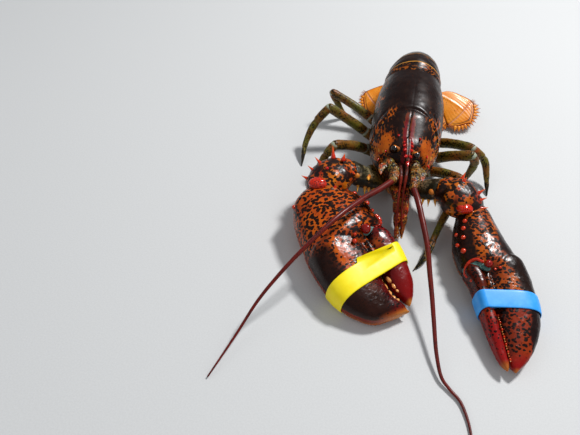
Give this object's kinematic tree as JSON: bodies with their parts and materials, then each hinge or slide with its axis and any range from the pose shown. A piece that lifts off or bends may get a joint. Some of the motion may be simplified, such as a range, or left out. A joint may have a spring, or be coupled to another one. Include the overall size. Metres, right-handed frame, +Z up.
{
  "type": "american lobster",
  "caption": "Life-size still model of an american lobster resting on its underside, tail curled under, heavy crusher claw and slim cutter claw each held shut by a rubber band.",
  "frame": {"origin": "flat face on the underside of the thorax, on the floor, below the middle of the carapace", "axes": "+Z up from the floor, -Y towards the head and claws, +X to the animal's left"},
  "size_m": [0.2162, 0.364, 0.0718],
  "materials": {
    "carapace_shell": "glossy",
    "abdomen_shell": "glossy",
    "underside_shell": "satin",
    "tail_fan_shell": "glossy",
    "crusher_shell": "glossy",
    "cutter_shell": "glossy",
    "arm_shell": "glossy",
    "leg_shell": "satin",
    "head_limb_shell": "satin",
    "feeler": "satin",
    "eye": "glossy",
    "yellow_rubber": "satin",
    "blue_rubber": "satin"
  },
  "bodies": {
    "root": {"carapace": "carapace_shell", "thorax_underside": "underside_shell", "abdomen_1": "abdomen_shell", "abdomen_2": "abdomen_shell", "abdomen_3": "abdomen_shell", "abdomen_4": "abdomen_shell", "abdomen_5": "abdomen_shell", "abdomen_6": "abdomen_shell", "telson": "tail_fan_shell", "right_uropod_inner": "tail_fan_shell", "right_uropod_outer": "tail_fan_shell", "left_uropod_inner": "tail_fan_shell", "left_uropod_outer": "tail_fan_shell", "right_eye": "eye", "right_eye_stalk": "head_limb_shell", "left_eye": "eye", "left_eye_stalk": "head_limb_shell", "right_antenna_base": "head_limb_shell", "right_antenna_1": "feeler", "right_antenna_2": "feeler", "left_antenna_base": "head_limb_shell", "left_antenna_1": "feeler", "left_antenna_2": "feeler", "right_antennule": "feeler", "right_maxilliped": "head_limb_shell", "left_antennule": "feeler", "left_maxilliped": "head_limb_shell", "right_arm_base": "head_limb_shell", "right_arm_merus": "leg_shell", "right_arm_carpus": "arm_shell", "right_crusher_claw": "crusher_shell", "right_crusher_dactyl": "crusher_shell", "right_claw_band": "yellow_rubber", "left_arm_base": "head_limb_shell", "left_arm_merus": "leg_shell", "left_arm_carpus": "arm_shell", "left_cutter_claw": "cutter_shell", "left_cutter_dactyl": "cutter_shell", "left_claw_band": "blue_rubber", "right_leg_2_upper": "leg_shell", "right_leg_2_lower": "leg_shell", "right_leg_3_upper": "leg_shell", "right_leg_3_lower": "leg_shell", "right_leg_4_upper": "leg_shell", "right_leg_4_lower": "leg_shell", "right_leg_5_upper": "leg_shell", "right_leg_5_lower": "leg_shell", "left_leg_2_upper": "leg_shell", "left_leg_2_lower": "leg_shell", "left_leg_3_upper": "leg_shell", "left_leg_3_lower": "leg_shell", "left_leg_4_upper": "leg_shell", "left_leg_4_lower": "leg_shell", "left_leg_5_upper": "leg_shell", "left_leg_5_lower": "leg_shell"}
  },
  "joints": []
}
